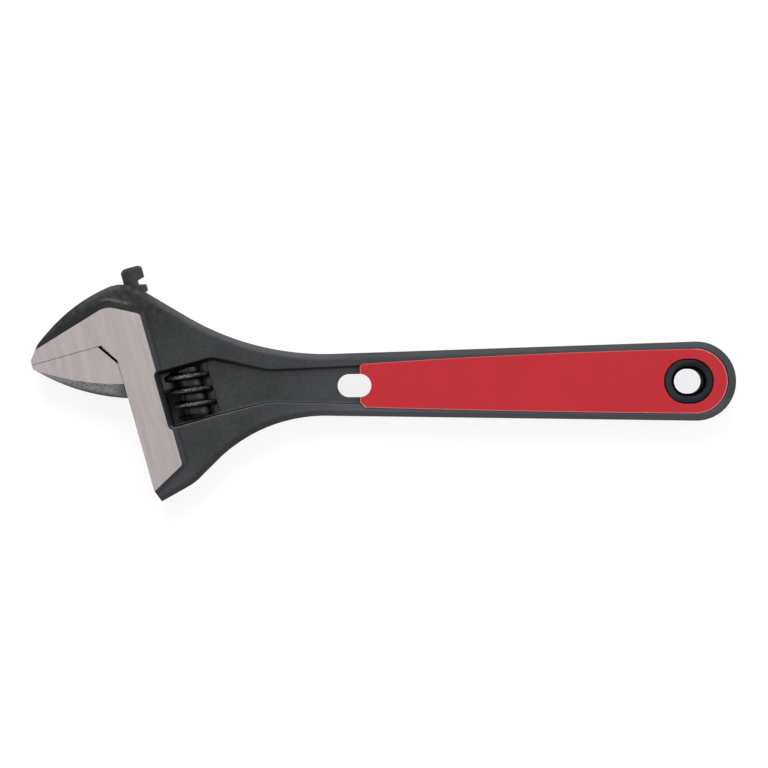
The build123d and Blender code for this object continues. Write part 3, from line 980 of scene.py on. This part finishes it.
class SmoothShading:
    """A modifier that merges a solid's loose triangles and shades it smooth up to a given angle."""

    merge_distance: float = 0.002

    def __init__(self, name: str, angle: float) -> None:
        """Build the node group: merge by distance, smooth faces, sharp edges past the angle."""
        self.group = bpy.data.node_groups.new(name, "GeometryNodeTree")
        for side in ("INPUT", "OUTPUT"):
            self.group.interface.new_socket("Geometry", in_out=side, socket_type="NodeSocketGeometry")
        graph = Graph(self.group)
        source = graph.node("NodeGroupInput").outputs[0]
        near = {"Geometry": source, "Distance": self.merge_distance * MM}
        merged = graph.node("GeometryNodeMergeByDistance", {}, near)
        smooth = graph.node("GeometryNodeSetShadeSmooth", {"domain": "FACE"}, {"Geometry": merged.outputs[0]})
        fold = graph.node("GeometryNodeInputMeshEdgeAngle").outputs["Unsigned Angle"]
        wide = {"data_type": "FLOAT", "operation": "GREATER_THAN"}
        sharp = graph.node("FunctionNodeCompare", wide, {0: fold, 1: angle}).outputs[0]
        inputs = {"Geometry": smooth.outputs[0], "Selection": sharp, "Shade Smooth": False}
        creased = graph.node("GeometryNodeSetShadeSmooth", {"domain": "EDGE"}, inputs)
        graph.node("NodeGroupOutput", {}, {0: creased.outputs[0]})

    def put_on(self, piece: bpy.types.Object) -> None:
        """Add the modifier to a piece."""
        piece.modifiers.new("smooth_shading", "NODES").node_group = self.group


def dress(piece: bpy.types.Object, material: bpy.types.Material) -> None:
    """Give a piece one material."""
    piece.data.materials.clear()
    piece.data.materials.append(material)
    log.info("%s wears %s", piece.name, material.name)


def put_in_scene(name: str, data: bpy.types.ID) -> bpy.types.Object:
    """Make an object of a mesh, a lamp or a camera, and link it to the scene.

    Args:
        name: the object's name.
        data: what it shows.

    Returns:
        The object, at the origin.
    """
    item = bpy.data.objects.new(name, data)
    bpy.context.scene.collection.objects.link(item)
    return item


def surface_mesh(name: str, points: np.ndarray) -> bpy.types.Object:
    """Make a mesh from a grid of points whose columns run round and whose last row joins the first.

    Args:
        name: the piece's name.
        points: rows by columns by 3, in mm. Faces turn outwards when columns then rows are right-handed.

    Returns:
        The object, at the origin.
    """
    rows, columns = points.shape[:2]
    index = np.arange(rows * columns).reshape(rows, columns)
    following = np.roll(index, -1, axis=0)
    quads = np.stack((index, np.roll(index, -1, axis=1), np.roll(following, -1, axis=1), following), axis=-1)
    mesh = bpy.data.meshes.new(name)
    mesh.from_pydata((points * MM).reshape(-1, 3), [], quads.reshape(-1, 4))
    mesh.validate()
    mesh.shade_smooth()
    return put_in_scene(name, mesh)


@dataclass
class ForgedBody:
    """The forging with the pin, the spring and the panel that it holds."""

    smooth_angle: float = radians(25.0)

    def build(self) -> None:
        """Dress the solids that ride on the forging."""
        shading = SmoothShading("forging_shading", self.smooth_angle)
        finishes = {
            "body": ForgingFinish().make(),
            "worm_pin": TurnedSteel("pin_steel", Temper.DARK).make(),
            "worm_spring": TurnedSteel("spring_steel", Temper.BRIGHT).make(),
            "handle_panel": PanelFinish().make(),
        }
        for name, material in finishes.items():
            shading.put_on(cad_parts[name])
            dress(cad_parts[name], material)


@dataclass
class SlidingJaw:
    """The lower jaw with its web and rack."""

    smooth_angle: float = radians(25.0)

    def build(self) -> None:
        """Dress the jaw's solid."""
        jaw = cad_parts["movable_jaw"]
        SmoothShading("jaw_shading", self.smooth_angle).put_on(jaw)
        dress(jaw, JawFinish().make())


@dataclass
class ThumbWorm:
    """The thumb worm: a single left-hand ridge round a drum, with a knurled crest and bevelled ends."""

    length: float = 18.2
    waist_radius: float = 6.4
    crest_width: float = 1.4
    bevel: float = 0.4
    flank: float = radians(11.0)
    flare: float = radians(16.0)
    hub: float = 1.2
    end_radius: float = 6.6
    end_slope: float = 1.3
    bore_radius: float = 1.86
    seat_radius: float = 3.2
    seat_depth: float = 4.85
    notches: int = 72
    notch_depth: float = 0.2
    notch_slant: float = 0.35
    notch_gain: float = 1.6
    notch_floor: float = 0.6
    notch_start: float = 0.7
    notch_full: float = 0.5
    sharp_angle: float = radians(50.0)
    rows: int = 250
    columns: int = 288

    def ridge(self, offset: np.ndarray) -> np.ndarray:
        """Return the drum's radius at a distance along its axis from the middle of the ridge.

        The crest is flat, its corners are bevelled at 45 degrees, and the flanks fall at the flank angle to
        the waist, then at the flare angle to the root.

        Args:
            offset: distances in mm, without sign.

        Returns:
            Radii in mm.
        """
        corner = self.crest_width / 2 - self.bevel
        side = self.crest_width / 2 + self.bevel * tan(self.flank)
        waist_half = self.crest_width / 2 + (WORM.crest_radius - self.waist_radius) * tan(self.flank)
        root_half = waist_half + (self.waist_radius - WORM.root_radius) * tan(self.flare)
        steps = (0.0, corner, side, waist_half, root_half)
        radii = (
            WORM.crest_radius,
            WORM.crest_radius,
            WORM.crest_radius - self.bevel,
            self.waist_radius,
            WORM.root_radius,
        )
        return np.interp(offset, steps, radii)

    def surface(self) -> np.ndarray:
        """Return the worm's closed surface as rows by columns of points.

        The radius is a function of the turn and the place along the axis: the ridge lies where the place is
        the front crest less the pitch times the turn. Notches of a triangle wave round the turn lower the
        crest, a hub at the lower end has no ridge, and a cone bevels each end. The last rows close the ends,
        run down the spring's seat and back through the bore.

        Returns:
            The points in mm.
        """
        turn = np.linspace(0.0, 2 * pi, self.columns, endpoint=False)
        half = self.length / 2
        level = np.linspace(-half, half, self.rows)
        angle, place = np.meshgrid(turn, level)
        offset = (place - WORM.front_crest + WORM.pitch * angle / (2 * pi) + WORM.pitch / 2) % WORM.pitch
        offset = np.abs(offset - WORM.pitch / 2)
        radius = self.ridge(offset)
        wave = np.abs((self.notches * angle / (2 * pi) + self.notch_slant * place) % 1.0 - 0.5) * 2
        near_crest = np.clip((radius - WORM.crest_radius + self.notch_start) / self.notch_full, 0.0, 1.0)
        notch = np.clip(self.notch_gain * wave - self.notch_floor, 0.0, 1.0)
        radius = radius - self.notch_depth * near_crest * notch
        radius = np.where(place < self.hub - half, WORM.root_radius, radius)
        radius = np.minimum(radius, self.end_radius + self.end_slope * (half - np.abs(place)))
        inner = np.array(
            (
                (self.seat_radius, half),
                (self.seat_radius, half - self.seat_depth),
                (self.bore_radius, half - self.seat_depth),
                (self.bore_radius, -half),
            )
        )
        radius = np.vstack((radius, np.repeat(inner[:, :1], self.columns, axis=1)))
        place = np.vstack((place, np.repeat(inner[:, 1:], self.columns, axis=1)))
        along, up = HEAD.axes()
        out = np.cos(turn)[:, None] * np.array((0.0, 0.0, 1.0)) + np.sin(turn)[:, None] * along
        return HEAD.point(*WORM.center) + radius[..., None] * out[None] + place[..., None] * up

    def build(self) -> None:
        """Make the worm, dress it and let it stand for its solid."""
        piece = surface_mesh("knurled_worm", self.surface())
        piece.data.set_sharp_from_angle(angle=self.sharp_angle)
        dress(piece, WormFinish().make())
        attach(piece, "thumb_worm")
        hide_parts("worm")
        log.info("%s has %d faces", piece.name, len(piece.data.polygons))


@dataclass(frozen=True)
class Lamp:
    """A square soft lamp: its place and its side in metres, and its power in watts."""

    name: str
    place: tuple[float, float, float]
    side: float
    power: float


@dataclass
class Studio:
    """A pale table, soft lamps, a bright sky and a camera straight above the wrench.

    The window's and the spill's places are in the head's directions, in mm. Other sizes are metres.
    """

    table_side: float = 8.0
    table_gap: float = 0.0001
    table_color: Color = (0.22, 0.22, 0.22)
    table_rough: float = 0.9
    table_lift: float = 0.84
    shade_reach: float = 0.012
    shade_samples: int = 16
    slit_span: Span = (0.12, 0.03)
    window_middle: Point = (21.5, -25.2)
    window_half: tuple[float, float] = (9.0, 10.0)
    window_blur: float = 3.0
    spill_along: Span = (27.0, 28.6)
    spill: float = 0.036
    sky_light: float = 0.4
    target: tuple[float, float, float] = (-0.11025, 0.00043, 0.006)
    distance: float = 1.0843
    lens: float = 140.6
    clip: tuple[float, float] = (0.01, 50.0)
    roll: float = radians(-0.75)
    lamps: tuple[Lamp, ...] = (
        Lamp("key_lamp", (-0.2, 0.85, 0.9), 0.7, 10.0),
        Lamp("fill_lamp", (-0.6, -0.7, 0.9), 0.8, 2.2),
        Lamp("end_lamp", (0.8, 0.1, 0.8), 0.7, 3.0),
        Lamp("edge_lamp", (-0.15, 1.2, 0.28), 0.5, 4.0),
    )

    def table(self) -> None:
        """Lay the table under the wrench.

        The rays that show the table see it lifted to white, apart from slits and the floor of the worm's
        window, where the head's own shade lies. From below the table is clear, so that the back is seen.
        """
        half = self.table_side / 2
        level = cad_box[0][2] - self.table_gap
        corners = np.array(((-half, -half), (half, -half), (half, half), (-half, half)))
        points = np.column_stack((corners, np.full(4, level)))
        mesh = bpy.data.meshes.new("table")
        mesh.from_pydata(points, [], [(0, 1, 2, 3)])
        floor = put_in_scene("table", mesh)
        shader = Shader("table_white")
        samples = {"samples": self.shade_samples}
        cover = shader.node("ShaderNodeAmbientOcclusion", samples, {"Distance": self.shade_reach})
        slit = Value(shader, cover.outputs["AO"]).rise(*self.slit_span)
        far_along = abs(shader.along - self.window_middle[0]) - self.window_half[0]
        far_up = abs(shader.up - self.window_middle[1]) - self.window_half[1]
        window = far_along.most(far_up).rise(self.window_blur, 0.0)
        spill = shader.along.rise(*self.spill_along) * self.spill
        lit = shader.shown() * (1 - slit.most(window) * (1 - spill))
        shader.set(
            Base_Color=self.table_color,
            Roughness=self.table_rough,
            Specular_IOR_Level=0.0,
            Emission_Color=shader.blend(lit, (0.0, 0.0, 0.0), (1.0, 1.0, 1.0)),
            Emission_Strength=self.table_lift,
        )
        back = shader.node("ShaderNodeNewGeometry").outputs["Backfacing"]
        clear = shader.node("ShaderNodeBsdfTransparent").outputs[0]
        one_sided = shader.node("ShaderNodeMixShader", {}, {0: back, 1: shader.surface.outputs[0], 2: clear})
        shader.feed(shader.tree.nodes["Material Output"].inputs["Surface"], one_sided.outputs[0])
        dress(floor, shader.material)

    def sky(self) -> None:
        """Light the scene from a grey sky that the camera and glossy surfaces see as white."""
        world = bpy.data.worlds.new("studio_sky")
        world.use_nodes = True
        bpy.context.scene.world = world
        graph = Graph(world.node_tree)
        gray = (self.sky_light, self.sky_light, self.sky_light)
        color = graph.blend(graph.shown(), gray, (1.0, 1.0, 1.0))
        graph.feed(graph.tree.nodes["Background"].inputs["Color"], color)

    def light(self) -> None:
        """Hang the soft lamps, each facing the wrench."""
        for lamp in self.lamps:
            data = bpy.data.lights.new(lamp.name, "AREA")
            data.size = lamp.side
            data.energy = lamp.power
            item = put_in_scene(lamp.name, data)
            item.location = lamp.place
            reach = np.array(self.target) - np.array(lamp.place)
            across = hypot(reach[0], reach[1])
            item.rotation_euler = (atan2(across, -reach[2]), 0.0, atan2(reach[1], reach[0]) - pi / 2)

    def camera(self) -> None:
        """Set the camera straight above, turned a little as the wrench lies in the picture."""
        data = bpy.data.cameras.new("camera")
        data.lens = self.lens
        data.clip_start, data.clip_end = self.clip
        item = put_in_scene("camera", data)
        item.location = (self.target[0], self.target[1], self.target[2] + self.distance)
        item.rotation_euler = (0.0, 0.0, self.roll)
        bpy.context.scene.camera = item

    def build(self) -> None:
        """Set the whole studio."""
        self.camera()
        self.table()
        self.sky()
        self.light()
        bpy.context.scene.view_settings.view_transform = "Standard"
        log.info("studio is set with %d lamps", len(self.lamps))


def main() -> None:
    """Build the wrench's sub-assemblies, then the studio."""
    logging.basicConfig(level=logging.INFO, format="%(name)s: %(message)s")
    for part in (ForgedBody(), SlidingJaw(), ThumbWorm(), Studio()):
        part.build()
        log.info("%s done", type(part).__name__)


if __name__ == "__main__":
    main()
